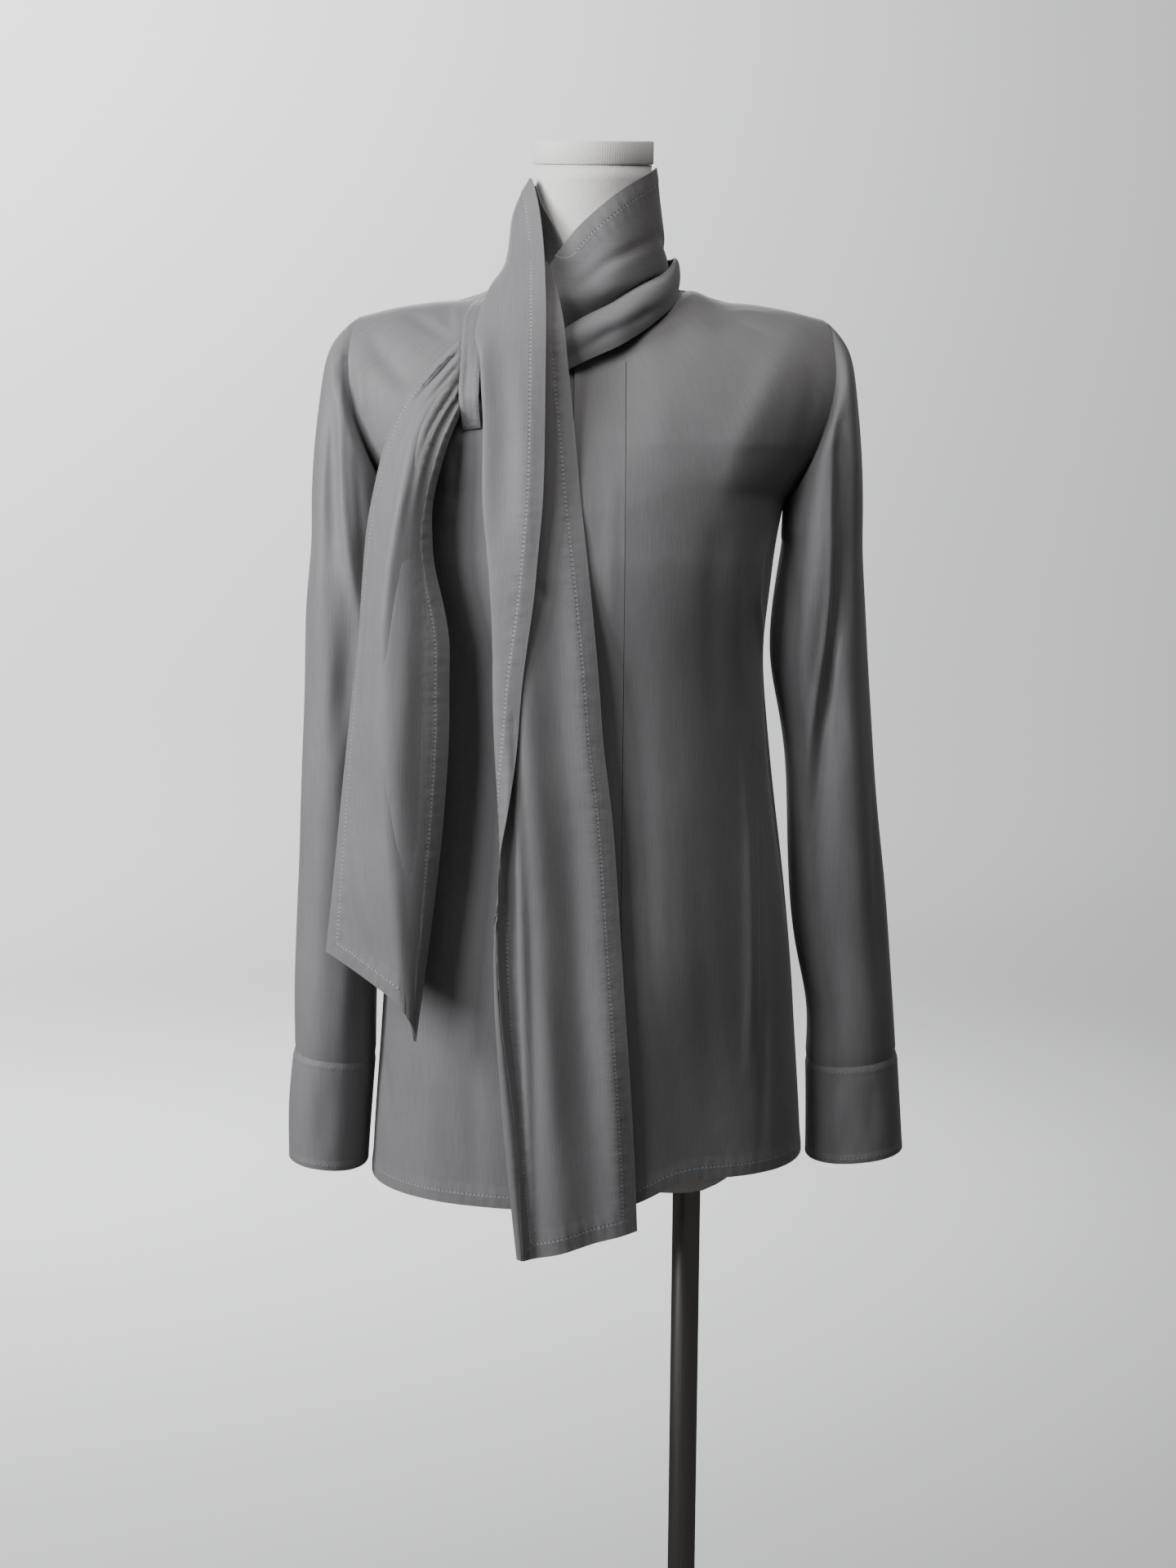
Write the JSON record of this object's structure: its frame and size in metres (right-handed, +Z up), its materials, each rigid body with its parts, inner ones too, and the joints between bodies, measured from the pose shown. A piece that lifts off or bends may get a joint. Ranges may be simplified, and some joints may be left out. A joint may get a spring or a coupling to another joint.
{
  "type": "scarf-collar blouse on a limbless dress form",
  "caption": "Long-sleeved grey blouse whose scarf collar winds round the neck and hangs in two ends, worn by a limbless dress form on a steel pole and round foot.",
  "frame": {"origin": "middle of the underside of the round foot", "axes": "+Z up, +Y from the blouse's front to its back, +X to the wearer's left"},
  "size_m": [0.4815, 0.32, 1.4952],
  "materials": {
    "cloth": "matte",
    "form_cover": "matte",
    "steel": "satin"
  },
  "bodies": {
    "root": {"front_left": "cloth", "front_right": "cloth", "front_placket": "cloth", "back": "cloth", "sleeve_left": "cloth", "sleeve_right": "cloth", "cuff_left": "cloth", "cuff_right": "cloth", "keeper_loop": "cloth", "scarf_neck_wrap": "cloth", "scarf_neck_stand": "cloth", "scarf_neck_roll": "cloth", "scarf_crossing": "cloth", "scarf_long_end": "cloth", "scarf_short_end": "cloth", "form_torso": "form_cover", "form_neck_cap": "form_cover", "pole": "steel", "pole_collar": "steel", "base_plate": "steel"}
  },
  "joints": []
}
